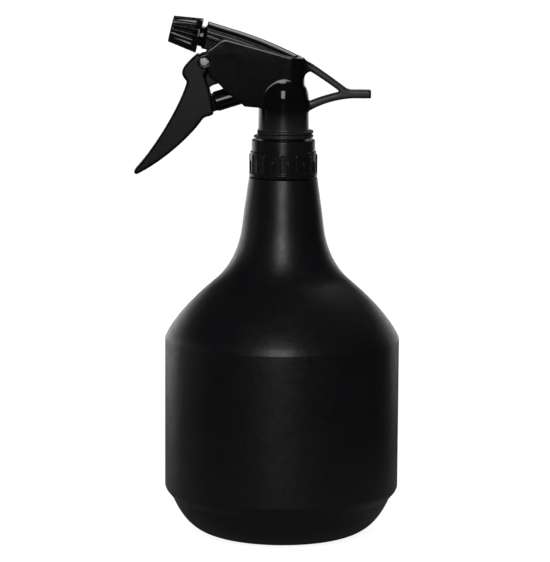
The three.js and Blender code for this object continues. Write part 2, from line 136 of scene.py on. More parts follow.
def ranged(tree, source, low, high, from_low=0.3, from_high=0.7):
    made = node(tree, "ShaderNodeMapRange", {
        "From Min": from_low, "From Max": from_high, "To Min": low, "To Max": high,
    })
    tree.links.new(source, made.inputs["Value"])
    return made.outputs["Result"]


def blended(tree, factor, first, second):
    made = node(tree, "ShaderNodeMix", data_type="RGBA")
    made.inputs[6].default_value = (*first, 1)
    made.inputs[7].default_value = (*second, 1)
    tree.links.new(factor, made.inputs[0])
    return made.outputs[2]


def bumped(tree, shader, layers):
    """Stacks bump layers of (height, strength, distance) under the shader's normal."""
    normal = None
    for height, strength, distance in layers:
        made = node(tree, "ShaderNodeBump", {"Strength": strength, "Distance": distance})
        tree.links.new(height, made.inputs["Height"])
        if normal is not None:
            tree.links.new(normal, made.inputs["Normal"])
        normal = made.outputs["Normal"]
    tree.links.new(normal, shader.inputs["Normal"])


def calculated(tree, operation, *operands):
    """A maths node's result. An operand is a socket or a number."""
    made = node(tree, "ShaderNodeMath", operation=operation)
    for i, operand in enumerate(operands):
        if isinstance(operand, (int, float)):
            made.inputs[i].default_value = operand
        else:
            tree.links.new(operand, made.inputs[i])
    return made.outputs[0]


def satin_and_sheen_share(tree, rear, low):
    """0 where the plastic is glossy, and 1 where it is satin and painted paler as sheen: behind an X range,
    or below a Z range.
    """
    coordinates = node(tree, "ShaderNodeTexCoord")
    apart = node(tree, "ShaderNodeSeparateXYZ")
    tree.links.new(coordinates.outputs["Object"], apart.inputs[0])
    behind = ranged(tree, apart.outputs["X"], 0, 1, *rear)
    below = ranged(tree, apart.outputs["Z"], 1, 0, *low)
    return calculated(tree, "MAXIMUM", behind, below)


def moulded_plastic(name, dark, light, rough, grain=2500, grain_depth=2e-5, sink_depth=1e-4, scuff=0.0,
                    specular=0.5, satin_and_sheen=None):
    """Plastic with a mottled tone, uneven gloss, a fine grain, soft sink marks and sparse scuffs.

    If the satin zones are given, as two ranges in metres, the plastic turns from glossy to satin over each
    and is painted paler there as sheen (see the satin and sheen share above).
    """
    material, tree, shader = new_material(name)
    mottle = ranged(tree, noise(tree, 60, 4), 0, 1)
    tone = blended(tree, mottle, dark, light)
    uneven = ranged(tree, noise(tree, 240, 6, 0.65), *rough)
    if scuff:
        streaks = ranged(tree, noise(tree, 900, 8, 0.75, (1, 1, 0.12)), 0, scuff, 0.58, 0.72)
        uneven = calculated(tree, "ADD", uneven, streaks)
    if satin_and_sheen:
        share = satin_and_sheen_share(tree, *satin_and_sheen)
        # In the satin zones the base colour turns paler: a painted sheen.
        painted_sheen = node(tree, "ShaderNodeMix", {7: SATIN_PAINTED_SHEEN_TONE}, data_type="RGBA")
        tree.links.new(share, painted_sheen.inputs[0])
        tree.links.new(tone, painted_sheen.inputs[6])
        tone = painted_sheen.outputs[2]
        uneven = calculated(tree, "MULTIPLY_ADD", share, SATIN_ROUGHNESS, uneven)
    tree.links.new(tone, shader.inputs["Base Color"])
    tree.links.new(uneven, shader.inputs["Roughness"])
    bumped(tree, shader, [
        (noise(tree, 45, 2), 1.0, sink_depth),
        (noise(tree, grain, 4, 0.6), 1.0, grain_depth),
    ])
    shader.inputs["IOR"].default_value = 1.5
    shader.inputs["Specular IOR Level"].default_value = specular
    return material


def natural_plastic(name):
    """Unpigmented polyethylene: milky, with a little light under its surface."""
    material, tree, shader = new_material(name)
    cloud = ranged(tree, noise(tree, 120, 4), 0, 1)
    tree.links.new(blended(tree, cloud, (0.62, 0.66, 0.7), (0.76, 0.79, 0.82)), shader.inputs["Base Color"])
    tree.links.new(ranged(tree, noise(tree, 300, 5), 0.28, 0.42), shader.inputs["Roughness"])
    shader.inputs["Subsurface Weight"].default_value = 0.35
    shader.inputs["Subsurface Radius"].default_value = (0.004, 0.004, 0.005)
    shader.inputs["Subsurface Scale"].default_value = 1.0
    bumped(tree, shader, [(noise(tree, 1500, 4), 1.0, 1.5e-5)])
    return material


def drawn_steel(name):
    material, tree, shader = new_material(name)
    streak = noise(tree, 700, 6, 0.7, (1, 1, 6))
    tree.links.new(blended(tree, ranged(tree, streak, 0, 1), (0.46, 0.46, 0.48), (0.68, 0.69, 0.7)),
                   shader.inputs["Base Color"])
    tree.links.new(ranged(tree, streak, 0.2, 0.38), shader.inputs["Roughness"])
    shader.inputs["Metallic"].default_value = 1.0
    bumped(tree, shader, [(streak, 1.0, 8e-6)])
    return material


def seal_rubber(name):
    material, tree, shader = new_material(name)
    bloom = ranged(tree, noise(tree, 400, 5), 0, 1)
    tree.links.new(blended(tree, bloom, (0.012, 0.012, 0.013), (0.03, 0.03, 0.031)),
                   shader.inputs["Base Color"])
    tree.links.new(ranged(tree, noise(tree, 700, 4), 0.65, 0.85), shader.inputs["Roughness"])
    bumped(tree, shader, [(noise(tree, 3000, 3), 1.0, 2e-5)])
    return material


finishes = {
    "bottle_black": moulded_plastic("bottle_black", (0.0075, 0.008, 0.0095), (0.0105, 0.011, 0.0125),
                                    (0.3, 0.4), grain=1500, grain_depth=2.4e-5, sink_depth=2.5e-4,
                                    scuff=0.12),
    "head_black": moulded_plastic("head_black", (0.004, 0.004, 0.0045), (0.006, 0.006, 0.0065),
                                  (0.08, 0.12), grain=1200, grain_depth=1e-6, sink_depth=6e-5,
                                  scuff=0.02),
    # On the hook and low on the stem the shell turns satin and is painted paler there as sheen.
    "shell_black": moulded_plastic("shell_black", (0.004, 0.004, 0.0045), (0.006, 0.006, 0.0065),
                                   (0.08, 0.12), grain=1200, grain_depth=1e-6, sink_depth=1e-4,
                                   scuff=0.02, satin_and_sheen=((0.0115, 0.016), (0.203, 0.213))),
    "barrel_black": moulded_plastic("barrel_black", (0.004, 0.004, 0.0045), (0.0065, 0.0065, 0.007),
                                    (0.09, 0.12), grain=1200, grain_depth=1e-6, sink_depth=6e-5,
                                    scuff=0.02),
    "collar_black": moulded_plastic("collar_black", (0.011, 0.011, 0.0115), (0.015, 0.015, 0.0155),
                                    (0.22, 0.3), grain=1200, grain_depth=1e-6, sink_depth=6e-5,
                                    specular=0.35),
    "cap_black": moulded_plastic("cap_black", (0.0045, 0.0045, 0.005), (0.0065, 0.0065, 0.007),
                                 (0.13, 0.18), grain=1200, grain_depth=2e-6, sink_depth=8e-5,
                                 scuff=0.03),
    "trigger_grey": moulded_plastic("trigger_grey", (0.0085, 0.0075, 0.007), (0.0105, 0.0092, 0.0086),
                                    (0.28, 0.36), grain=2200, grain_depth=1.6e-5, sink_depth=1e-4,
                                    scuff=0.06, specular=0.22),
    "pin_white": moulded_plastic("pin_white", (0.62, 0.68, 0.78), (0.74, 0.79, 0.87), (0.3, 0.4),
                                 grain_depth=8e-6),
    "natural_plastic": natural_plastic("natural_plastic"),
    "spring_steel": drawn_steel("spring_steel"),
    "seal_rubber": seal_rubber("seal_rubber"),
}


# ---- Meshes ----

def add_piece(name, vertices, faces, body, slot, nodes, place=IN_PLACE, sharp_angle=None, finish=None):
    """Makes a mesh from millimetre vertices, puts it in place, ties it to its CAD body and hides the CAD
    nodes it stands in for.

    The slot is the CAD's material. A finish, if given, is a variant of it to look like.
    """
    mesh = bpy.data.meshes.new(name)
    mesh.from_pydata((np.asarray(vertices, dtype=float) * MM).tolist(), [], faces)
    work = bmesh.new()
    work.from_mesh(mesh)
    bmesh.ops.recalc_face_normals(work, faces=work.faces)
    work.to_mesh(mesh)
    work.free()
    mesh.transform(place)
    mesh.polygons.foreach_set("use_smooth", [True] * len(mesh.polygons))
    if sharp_angle:
        mesh.set_sharp_from_angle(angle=math.radians(sharp_angle))
    mesh.materials.append(finishes[finish or slot])
    piece = bpy.data.objects.new(name, mesh)
    bpy.context.scene.collection.objects.link(piece)
    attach(piece, body)
    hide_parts(*nodes)
    return piece


def eased(points, steps=5):
    """Rounds an open polyline's inner corners: a point is (u, v) or (u, v, radius)."""
    out = []
    for i, point in enumerate(points):
        here = np.array(point[:2], dtype=float)
        if len(point) < 3 or i in (0, len(points) - 1):
            out.append(tuple(here))
            continue
        before = np.array(points[i - 1][:2], dtype=float)
        after = np.array(points[i + 1][:2], dtype=float)
        back, ahead = before - here, after - here
        back_length, ahead_length = np.linalg.norm(back), np.linalg.norm(ahead)
        back, ahead = back / back_length, ahead / ahead_length
        half = math.acos(max(-1.0, min(1.0, float(back @ ahead)))) / 2
        reach = min(point[2] / math.tan(half), 0.48 * back_length, 0.48 * ahead_length)
        start, end = here + back * reach, here + ahead * reach
        for k in range(steps + 1):
            t = k / steps
            out.append(tuple((1 - t) ** 2 * start + 2 * t * (1 - t) * here + t ** 2 * end))
    return out


def curve(*controls, steps=12):
    """Points along a Bezier curve of two, three or four control points, without its first point."""
    controls = np.array(controls, dtype=float)
    degree = len(controls) - 1
    out = []
    for k in range(1, steps + 1):
        t = k / steps
        weights = [math.comb(degree, i) * t ** i * (1 - t) ** (degree - i) for i in range(degree + 1)]
        out.append(tuple(np.array(weights) @ controls))
    return out


def arc(centre, radius, start, end, steps=12):
    angles = np.radians(np.linspace(start, end, steps + 1))
    return [(centre[0] + radius * math.cos(a), centre[1] + radius * math.sin(a)) for a in angles]


def revolve(profile, angles=None, shape=None, segments=96):
    """Turns (radius, height) points about +Z. A profile starts and ends on the axis or closes on itself."""
    if angles is None:
        angles = np.linspace(0, 2 * math.pi, segments, endpoint=False)
    closed = profile[0] == profile[-1]
    rows = profile[:-1] if closed else profile
    vertices, rings = [], []
    for radius, height in rows:
        if radius < 1e-6:
            rings.append([len(vertices)] * len(angles))
            vertices.append((0.0, 0.0, height))
            continue
        radii = np.full(len(angles), radius) if shape is None else shape(radius, height, angles)
        rings.append(list(range(len(vertices), len(vertices) + len(angles))))
        vertices.extend(zip(radii * np.cos(angles), radii * np.sin(angles), [height] * len(angles)))
    pairs = list(zip(rings, rings[1:]))
    if closed:
        pairs.append((rings[-1], rings[0]))
    faces = []
    for low, high in pairs:
        for j in range(len(angles)):
            k = (j + 1) % len(angles)
            corners = [low[j], low[k], high[k], high[j]]
            face = [v for n, v in enumerate(corners) if v not in corners[:n]]
            if len(face) > 2:
                faces.append(face)
    return vertices, faces


def add_turned(name, profile, body, slot, nodes, place=IN_PLACE, segments=96, shape=None, sharp_angle=40,
               finish=None):
    vertices, faces = revolve(profile, shape=shape, segments=segments)
    return add_piece(name, vertices, faces, body, slot, nodes, place, sharp_angle, finish)


def add_coil(name, radius, wire, low, high, turns, nodes, place=IN_PLACE):
    """A compression spring on the head, made at one fixed length; in the pump a joint presses it towards its
    high end.

    Its end turns lie flat, and the wire is a closed tube.
    """
    steps = int(turns * 36)
    flat = 0.25
    t = np.arange(steps + 1) / steps
    pitch = flat + (1 - flat) * np.minimum(1, np.minimum(t, 1 - t) * turns)
    climb = np.concatenate([[0], np.cumsum(pitch[:-1])])
    climb = climb / climb[-1] * (high - low - 2 * wire) + low + wire
    angles = 2 * math.pi * turns * t
    path = np.column_stack([radius * np.cos(angles), radius * np.sin(angles), climb])
    vertices, faces = tube_along(path, wire, 12)
    spring = add_piece(name, vertices, faces, "head", "spring_steel", nodes, place, 50)
    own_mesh(spring)


def tube_along(path, radius, sides):
    """A closed round tube along a rising path, which is an array of points."""
    ahead = np.gradient(path, axis=0)
    ahead /= np.linalg.norm(ahead, axis=1)[:, None]
    side = np.cross(ahead, (0, 0, 1))
    side /= np.linalg.norm(side, axis=1)[:, None]
    up = np.cross(side, ahead)
    vertices = []
    for centre, across, above in zip(path, side, up):
        for k in range(sides):
            angle = 2 * math.pi * k / sides
            vertices.append(centre + radius * (math.cos(angle) * across + math.sin(angle) * above))
    faces = []
    for i in range(len(path) - 1):
        start, end = i * sides, (i + 1) * sides
        for k in range(sides):
            n = (k + 1) % sides
            faces.append([start + k, start + n, end + n, end + k])
    faces.append(list(range(sides)))
    faces.append(list(range((len(path) - 1) * sides, len(path) * sides)))
    return vertices, faces


# ---- Distance fields, in millimetres: negative inside ----

class Grid:
    """A block of sample points whose x, y and z broadcast against each other."""

    def __init__(self, low, high, step):
        self.low, self.step = np.array(low, dtype=float), step
        counts = [int(math.ceil((h - l) / step)) + 1 for l, h in zip(low, high)]
        axes = [low[i] + step * np.arange(counts[i]) for i in range(3)]
        self.x = axes[0][:, None, None]
        self.y = axes[1][None, :, None]
        self.z = axes[2][None, None, :]
        self.shape = tuple(counts)


def outline_distance(points, u, v):
    """Signed distance to a closed outline, for sample points u, v that broadcast together."""
    nearest = None
    inside = None
    for i, (au, av) in enumerate(points):
        bu, bv = points[i - 1]
        eu, ev = bu - au, bv - av
        length = eu * eu + ev * ev
        if length < 1e-12:
            continue
        wu, wv = u - au, v - av
        t = np.clip((wu * eu + wv * ev) / length, 0, 1)
        squared = (wu - eu * t) ** 2 + (wv - ev * t) ** 2
        upward = np.sign(ev)
        crossing = ((av > v) != (bv > v)) & (wu * ev * upward < eu * wv * upward)
        nearest = squared if nearest is None else np.minimum(nearest, squared)
        inside = crossing if inside is None else inside ^ crossing
    distance = np.sqrt(nearest)
    return np.where(inside, -distance, distance)


def meet(first, second, radius=0.0):
    """The common part of two fields, with its edge rounded to a radius."""
    a, b = first + radius, second + radius
    return np.minimum(np.maximum(a, b), 0) + np.hypot(np.maximum(a, 0), np.maximum(b, 0)) - radius


def fuse(first, second, blend):
    """The union of two fields with a fillet of about the blend's size."""
    t = np.clip(0.5 + 0.5 * (second - first) / blend, 0, 1)
    return second * (1 - t) + first * t - blend * t * (1 - t)


def carve(field, tool, blend=0.3):
    return -fuse(-field, tool, blend)


def slab(grid, outline, half_width, radius):
    """A side outline in X and Z, given thickness across Y, with rounded edges."""
    return meet(outline_distance(outline, grid.x, grid.z), np.abs(grid.y) - half_width, radius)


def drum(radial, height, radius, low, high, edge=0.2):
    return meet(radial - radius, np.abs(height - (low + high) / 2) - (high - low) / 2, edge)


def along(grid, place):
    """Radial distance from, and height along, a placement's local +Z, at every grid point."""
    inverse = place.inverted()
    point = [grid.x * MM, grid.y * MM, grid.z * MM]
    local = [sum(inverse[r][c] * point[c] for c in range(3)) + inverse[r][3] for r in range(3)]
    return np.hypot(local[0], local[1]) / MM, local[2] / MM


def add_moulded(name, grid, field, body, slot, nodes, place=IN_PLACE, finish=None):
    """Meshes a field's surface, with grid steps as the volume's unit."""
    reach = 4.0
    volume = openvdb.FloatGrid(reach)
    band = np.clip(np.broadcast_to(field, grid.shape) / grid.step, -reach, reach)
    volume.copyFromArray(np.ascontiguousarray(band, dtype=np.float32))
    points, quads = volume.convertToQuads(0.0)
    vertices = points * grid.step + grid.low
    return add_piece(name, vertices, quads.tolist(), body, slot, nodes, place, finish=finish)


# ---- Bottle ----

BOTTLE_RADIUS = box_mm("bottle")[1][0]
LAND_Z = box_mm("bottle")[1][2]
WALL = 1.2
SEAM_HEIGHT = 0.12
SEAM_WIDTH = 0.25
SEAM_TOP_Z = 178.6


def bottle_profile():
    wall = BOTTLE_RADIUS
    inner = wall - WALL
    points = [(0, 0.9), (9, 0.9), (26, 0.25)]
    points += curve((26, 0.25), (29.5, 0), (33, 0), steps=4)
    points += curve((33, 0), (46.5, 0.2), (54.1, 16.6), steps=18)
    points += eased([(54.1, 16.6), (54.6, 17.9, 0.9), (57.7, 21.6, 1.2), (wall, 23.3, 1.2), (wall, 40)])[1:]
    points += [(wall, z) for z in (55, 70, 85)]
    points += eased([(wall, 85), (wall, 98.6, 2.2), (57.4, 101.2)])[1:]
    points += curve((57.4, 101.2), (51.1, 112.5), (36.3, 125.3), steps=26)[:-1]
    points += eased([points[-1], (36.1, 125.45, 1.5), (34.7, 126.7)])[1:]
    points += curve((34.7, 126.7), (24.2, 135.1), (20.9, 150.5), steps=20)
    points += [(20.2, 155), (19.2, 163), (18.2, 170)]
    points += eased([(18.2, 170), (17, 179.1, 0.35), (12.7, 179.1, 0.4), (12.7, 181)])[1:]
    points += eased([(12.7, 181), (12.7, LAND_Z, 0.4), (10.8, LAND_Z, 0.4), (10.8, 185)])[1:]
    points += eased([(10.8, 185), (10.8, 176.2, 1.0), (15.6, 175.6, 1.0), (16.9, 168)])[1:]
    points += [(19.6, 150.5)]
    points += curve((19.6, 150.5), (23.4, 133.4), (35.1, 124.3), steps=12)
    points += curve((35.1, 124.3), (49.8, 111.6), (56.6, 99.3), steps=14)
    points += [(inner, 96), (inner, 60), (inner, 23.3), (53.2, 17.9)]
    points += curve((53.2, 17.9), (45.9, WALL), (33, WALL + 0.1), steps=12)
    points += [(26, 1.5), (9, 2.1), (0, 2.1)]
    return points


def bottle_angles():
    """Even steps, with a few more on each mould line."""
    even = np.linspace(0, 2 * math.pi, 180, endpoint=False)
    near_seam = [s + d for s in (0, math.pi) for d in (-0.009, -0.004, 0.004, 0.009)]
    return np.array(sorted(list(even) + [a % (2 * math.pi) for a in near_seam]))


def bottle_shape(radius, height, angles):
    """The mould's parting line stands a little proud, most on the upright wall, as far up as the mouth."""
    if height >= SEAM_TOP_Z:
        return np.full(len(angles), radius)
    share = 1.0 if radius > BOTTLE_RADIUS - WALL / 2 else 0.6
    offset = np.abs(np.sin(angles)) * radius
    return radius + SEAM_HEIGHT * share * np.exp(-(offset / SEAM_WIDTH) ** 2)


def thread_path():
    """The thread's centre line, which sinks into the mouth's wall at both ends."""
    low, pitch, turns, radius, sink, sink_share = 182, 4.2, 1.25, 12.75, 0.9, 1 / 14
    t = np.linspace(0, 1, 91)
    angles = 2 * math.pi * turns * t
    radii = radius - sink * np.maximum(0, 1 - np.minimum(t, 1 - t) / sink_share)
    return np.column_stack([radii * np.cos(angles), radii * np.sin(angles), low + pitch * turns * t])


def build_bottle():
    vertices, faces = revolve(bottle_profile(), bottle_angles(), bottle_shape)
    ridge, ridge_faces = tube_along(thread_path(), 1.0, 12)
    start = len(vertices)
    vertices = list(vertices) + [tuple(v) for v in ridge]
    faces = faces + [[start + v for v in face] for face in ridge_faces]
    return add_piece("bottle_body", vertices, faces, "bottle", "bottle_black", ["bottle"], sharp_angle=35)


# ---- Collar ----

COLLAR_RADIUS = 17
RIB_COUNT = 24
RIB_WIDTH = 1.3
RIB_HEIGHT = 0.6
RIB_STEP = 2 * math.pi / RIB_COUNT
FIRST_RIB = math.radians(9)
SHORT_RIB_Z, LONG_RIB_Z = 187.8, 191.2
BAND_RADIUS = COLLAR_RADIUS - RIB_HEIGHT
BAND_LOW_Z = 181


def collar_profile():
    upper, bore, lip = 15.8, 14.2, 11.3
    low, base_top, ribs_low, middle, shoulder, lip_low, top = 179.6, 181.9, 183.1, 184, 192.2, 195, 198
    outside = eased([
        (bore, middle), (bore, low, 0.3), (COLLAR_RADIUS - 0.15, low, 0.3),
        (COLLAR_RADIUS + 0.05, base_top - 0.4, 0.4), (BAND_RADIUS, base_top, 0.3), (BAND_RADIUS, ribs_low),
    ], 4)
    ribbed = [(BAND_RADIUS, ribs_low + 0.4 * i) for i in range(1, 21)]
    upper_part = eased([
        (BAND_RADIUS, shoulder - 0.7), (BAND_RADIUS, shoulder, 0.45), (upper, shoulder + 0.1, 0.3),
        (upper, top, 0.7), (lip, top, 0.5), (lip, lip_low, 0.3), (bore, lip_low, 0.4), (bore, middle),
    ], 5)
    return outside + ribbed + upper_part


def collar_shape(radius, height, angles):
    """Narrow ribs, short and long by turns, each rounded over and run out at its top."""
    if abs(radius - BAND_RADIUS) > 0.02 or height < BAND_LOW_Z:
        return np.full(len(angles), radius)
    turned_by = (angles - FIRST_RIB) / RIB_STEP
    nearest = np.round(turned_by)
    across = np.abs(turned_by - nearest) * RIB_STEP * COLLAR_RADIUS / (RIB_WIDTH / 2)
    crest = np.sqrt(1 - np.clip(across, 0, 1) ** 2.5)
    top = np.where(nearest % 2 == 0, SHORT_RIB_Z, LONG_RIB_Z)
    run_out = np.clip((top - height) / 0.6, 0, 1)
    return radius + RIB_HEIGHT * crest * run_out


def collar_angles():
    """Close steps over each rib, with three more in each hollow between them."""
    half_rib = RIB_WIDTH / 2 / COLLAR_RADIUS
    steps = [half_rib * (i / 6 - 1) for i in range(13)]
    steps += [RIB_STEP / 2 * share for share in (0.62, 1, 1.38)]
    return np.array([FIRST_RIB + RIB_STEP * rib + step for rib in range(RIB_COUNT) for step in steps])


def build_collar():
    vertices, faces = revolve(collar_profile(), collar_angles(), collar_shape)
    return add_piece("closure_collar", vertices, faces, "collar", "head_black", ["collar"], sharp_angle=50,
                     finish="collar_black")


# ---- Pump housing ----

PLATE_HALF, PLATE_INNER = 9.0, 7.4
PLATE_REAR_X = 10.4
CAVITY_REAR_X = 7.4
CAVITY_FLOOR_Z = 216
STEM_RADIUS, STEM_BORE, STEM_BORE_TOP_Z = 12.5, 5.6, 218
DOME_Z = 218.8
HOOK_HALF = 4.5
EAR_RADIUS = 3.6
PIN_RADIUS = 1.9
PIN_GAP = 0.3


def plate_outline():
    points = [(-37.2, 243.2)]
    points += curve((-37.2, 243.2), (-33.4, 244.8), (-32.6, 248.2), (-28.2, 248), steps=14)
    points += curve((-28.2, 248), (-12, 243.7), (1, 240.0), steps=10)
    points += [(10.6, 238.0), (10.6, 212.5), (-12, 214.2), (-19.4, 214.8), (-20.6, 216), (-29.1, 222.5)]
    points += curve((-29.1, 222.5), (-32, 226.5), (-36.6, 229.3), steps=8)
    points += arc((PIVOT[0], PIVOT[2]), EAR_RADIUS, -67, -270, steps=20)
    return points


def hook_outline():
    points = [(4, 238), (6, 240.1)]
    points += curve((6, 240.1), (8, 239.3), (9.5, 238.4), steps=3)
    points += curve((9.5, 238.4), (20, 231.8), (30.6, 223.8), steps=14)
    points += curve((30.6, 223.8), (31.9, 222.9), (34.1, 222.8), steps=6)
    points += [(43.2, 222.8), (43.2, 218.8), (34, 218.8)]
    points += curve((34, 218.8), (22, 217.9), (13, 212.6), steps=14)
    points += [(4, 212.6)]
    return points


def loop_outline():
    points = [(9.9, 229.0)]
    points += curve((9.9, 229), (11, 231.5), (13.2, 231.9), steps=6)
    points += curve((13.2, 231.9), (20, 227.7), (26.6, 222.9), steps=6)
    points += curve((26.6, 222.9), (27.8, 221.8), (26.3, 221.4), steps=4)
    points += curve((26.3, 221.4), (19, 219.6), (13.1, 217.2), steps=8)
    points += [(8, 217.2), (8, 229)]
    return points


def channel_distance(x, y, half_width, rear_x, rear_start):
    """Plan distance to a channel that is straight towards -X and has an elliptical rear end."""
    length = rear_x - rear_start
    along_x = np.maximum(x - rear_start, 0)
    unit = np.hypot(along_x / length, y / half_width)
    slope = np.hypot(along_x / length ** 2, y / half_width ** 2)
    return np.where(x > rear_start, unit * (unit - 1) / np.maximum(slope, 1e-6), np.abs(y) - half_width)


def dome_outline():
    """Half of the stem with its dome: straight, then an arc that leans in, then a cone with a flat top."""
    lean, bend, foot_z, top_radius, rise = 28, 10, 200, 3, 1.5046
    points = [(0, foot_z), (STEM_RADIUS, foot_z)]
    points += arc((STEM_RADIUS - bend, DOME_Z), bend, 0, lean, steps=10)
    radius, height = points[-1]
    top_z = height + (radius - top_radius) * rise
    return points + [(top_radius, top_z), (0, top_z)]


def stem_field(grid, radial):
    """The stem with its two rims, the foot inside the collar, and the dome on top."""
    half = dome_outline()
    whole = half + [(-r, z) for r, z in reversed(half[1:-1])]
    field = outline_distance(whole, radial, grid.z)
    for radius, low, high in ((14.9, 199, 200.4), (14.1, 199.6, 202), (14.9, 201.1, 202.6)):
        field = fuse(field, drum(radial, grid.z, radius, low, high, 0.35), 0.25)
    neck = drum(radial, grid.z, 11, 193, 200)
    flange = drum(radial, grid.z, 13.2, 192.2, 194.6, 0.3)
    return np.minimum(np.minimum(field, neck), flange)


def pivot_hole(grid):
    return np.hypot(grid.x - PIVOT[0], grid.z - PIVOT[2]) - PIN_RADIUS - PIN_GAP


def build_housing():
    """The stem, plates and hook in one shell, hollow for the pump and open at its front."""
    grid = Grid((-44.4, -16, 191), (44.6, 16, 249), 0.42)
    radial = np.hypot(grid.x, grid.y)
    field = stem_field(grid, radial)
    plan = channel_distance(grid.x, grid.y, PLATE_HALF, PLATE_REAR_X, 3.6)
    plates = meet(outline_distance(plate_outline(), grid.x, grid.z), plan, 0.5)
    field = fuse(field, plates, 0.8)
    side = np.maximum(outline_distance(hook_outline(), grid.x, grid.z),
                      -outline_distance(loop_outline(), grid.x, grid.z))
    field = fuse(field, meet(side, np.abs(grid.y) - HOOK_HALF, 1.1), 1.2)
    cavity = channel_distance(grid.x, grid.y, PLATE_INNER, CAVITY_REAR_X, 0)
    field = carve(field, np.maximum(cavity, CAVITY_FLOOR_Z - grid.z))
    open_front = np.maximum(grid.x + 13, 200 - grid.z)
    field = carve(field, np.maximum(np.abs(grid.y) - PLATE_INNER, open_front))
    field = carve(field, np.maximum(radial - STEM_BORE, grid.z - STEM_BORE_TOP_Z))
    field = carve(field, pivot_hole(grid), 0.2)
    return add_moulded("pump_shell", grid, field, "head", "head_black", ["pump_housing"],
                       finish="shell_black")


# ---- Discharge barrel ----

BARREL_HALF = 7.0
BARREL_ARCH = 3.2
BARREL_FRONT = (-37.5, 256.3)
BARREL_REAR_X = 7.0
TAB_HALF = 7.7


def barrel_outline(top_drop=0.0):
    """The barrel from the side, carried on past its front, with the top edge lowered by top_drop."""
    beyond_x, rise_x, rise_z = -60, -26.6, 253.0 - top_drop
    under_z = 242.54 - 0.2447 * (beyond_x + 37.4)
    slope = (256.3 - 253.0) / (-37.4 + 26.6)
    points = [(beyond_x, under_z), (-8.3, 235.4), (-6.9, 233.9), (6.9, 233.9), (6.9, 239.9 - top_drop)]
    points += curve((6.9, 239.9 - top_drop), (-9, 248.0 - top_drop), (rise_x, rise_z), steps=14)
    points += [(beyond_x, rise_z + slope * (beyond_x - rise_x))]
    return points


def arch_drop(y):
    """How far the barrel's arched top falls away from its middle line."""
    radius = (BARREL_HALF ** 2 + BARREL_ARCH ** 2) / (2 * BARREL_ARCH)
    return radius - np.sqrt(radius ** 2 - np.clip(np.abs(y), 0, BARREL_HALF + 1) ** 2)


def barrel_body(grid):
    """The arched bar with a groove line and a small tab on each side, cut off square at its front."""
    side = outline_distance(barrel_outline(), grid.x, grid.z)
    arched = outline_distance(barrel_outline(), grid.x, grid.z + arch_drop(grid.y))
    field = meet(meet(arched, np.abs(grid.y) - BARREL_HALF, 0.3), side, 0.3)
    line = np.maximum(np.abs(outline_distance(barrel_outline(3.9), grid.x, grid.z)) - 0.3,
                      -outline_distance(barrel_outline(6.0), grid.x, grid.z))
    field = carve(field, np.maximum(line, BARREL_HALF - 0.4 - np.abs(grid.y)), 0.15)
    tab = [(-37.4, 249), (-32.1, 247), (-32.3, 246.4), (-37.4, 248.4)]
    field = fuse(field, slab(grid, tab, TAB_HALF, 0.2), 0.15)
    front = -0.9875 * (grid.x - BARREL_FRONT[0]) + 0.157 * (grid.z - BARREL_FRONT[1])
    field = meet(field, front, 0.5)
    return meet(field, channel_distance(grid.x, grid.y, TAB_HALF, BARREL_REAR_X, 0), 0.3)


def build_barrel():
    """The barrel with the nozzle's stub, the bore along it, and the outlet valve's well under its rear."""
    grid = Grid((-50, -8, 232), (8.4, 8, 258.5), 0.3)
    field = barrel_body(grid)
    radial, height = along(grid, NOZZLE_PLACE)
    bore_radius, bore_end, well_radius, well_top_z = 2.2, -43.3, 3.3, 240.3
    stub = drum(radial, height, 5.0, -8, 6.3, 0.4)
    root_ring = drum(radial, height, 5.9, -8, -2.4, 0.4)
    seal_groove = np.maximum(4.1 - radial, np.abs(height - SEAL_RING_PLACE) - 0.8)
    bore = np.maximum(radial - bore_radius, bore_end - height)
    well = np.maximum(np.hypot(grid.x, grid.y) - well_radius, grid.z - well_top_z)
    field = fuse(fuse(field, stub, 0.4), root_ring, 0.3)
    field = carve(field, seal_groove, 0.2)
    field = carve(carve(field, bore), well)
    return add_moulded("barrel_shell", grid, field, "head", "head_black", ["discharge_barrel"],
                       finish="barrel_black")


# ---- Trigger ----

TRIGGER_HALF = 6.6
TRIGGER_EAR = 4.05
POCKET_HALF = 5.2
RIB_HALF = 1.2
SLOT_REACH = 0.7


def trigger_outline():
    points = [(-43, 240.2)]
    points += curve((-43, 240.2), (-47, 236.9), (-49.3, 233.9), steps=6)
    points += curve((-49.3, 233.9), (-51.3, 231), (-49.2, 228.4), steps=10)
    points += curve((-49.2, 228.4), (-48.1, 227.2), (-48, 226.4), steps=4)
    points += curve((-48, 226.4), (-51.3, 214.5), (-63.6, 193.8), (-73.5, 183.1), steps=24)
    points += curve((-73.5, 183.1), (-74.7, 181.2), (-72.7, 180.6), steps=6)
    points += curve((-72.7, 180.6), (-62.5, 185.2), (-47, 197.8), (-39.9, 208.2), steps=24)
    points += curve((-39.9, 208.2), (-38.9, 209.3), (-37.2, 209.5), steps=4)
    points += [(-35.2, 210.2), (-34.6, 211)]
    points += curve((-34.6, 211), (-35.6, 221.5), (-39, 229.7), steps=10)
    points += [(-36.1, 234.2)]
    points += arc((PIVOT[0], PIVOT[2]), TRIGGER_EAR, -40, 131, steps=18)
    return points


def pocket_outline():
    points = [(-46.0, 225.4)]
    points += curve((-46, 225.4), (-49.3, 214.5), (-61.6, 194.6), (-71.4, 183.6), steps=24)
    points += [(-66, 176), (-25, 190), (-25, 229.4), (-40.5, 229.4)]
    return points


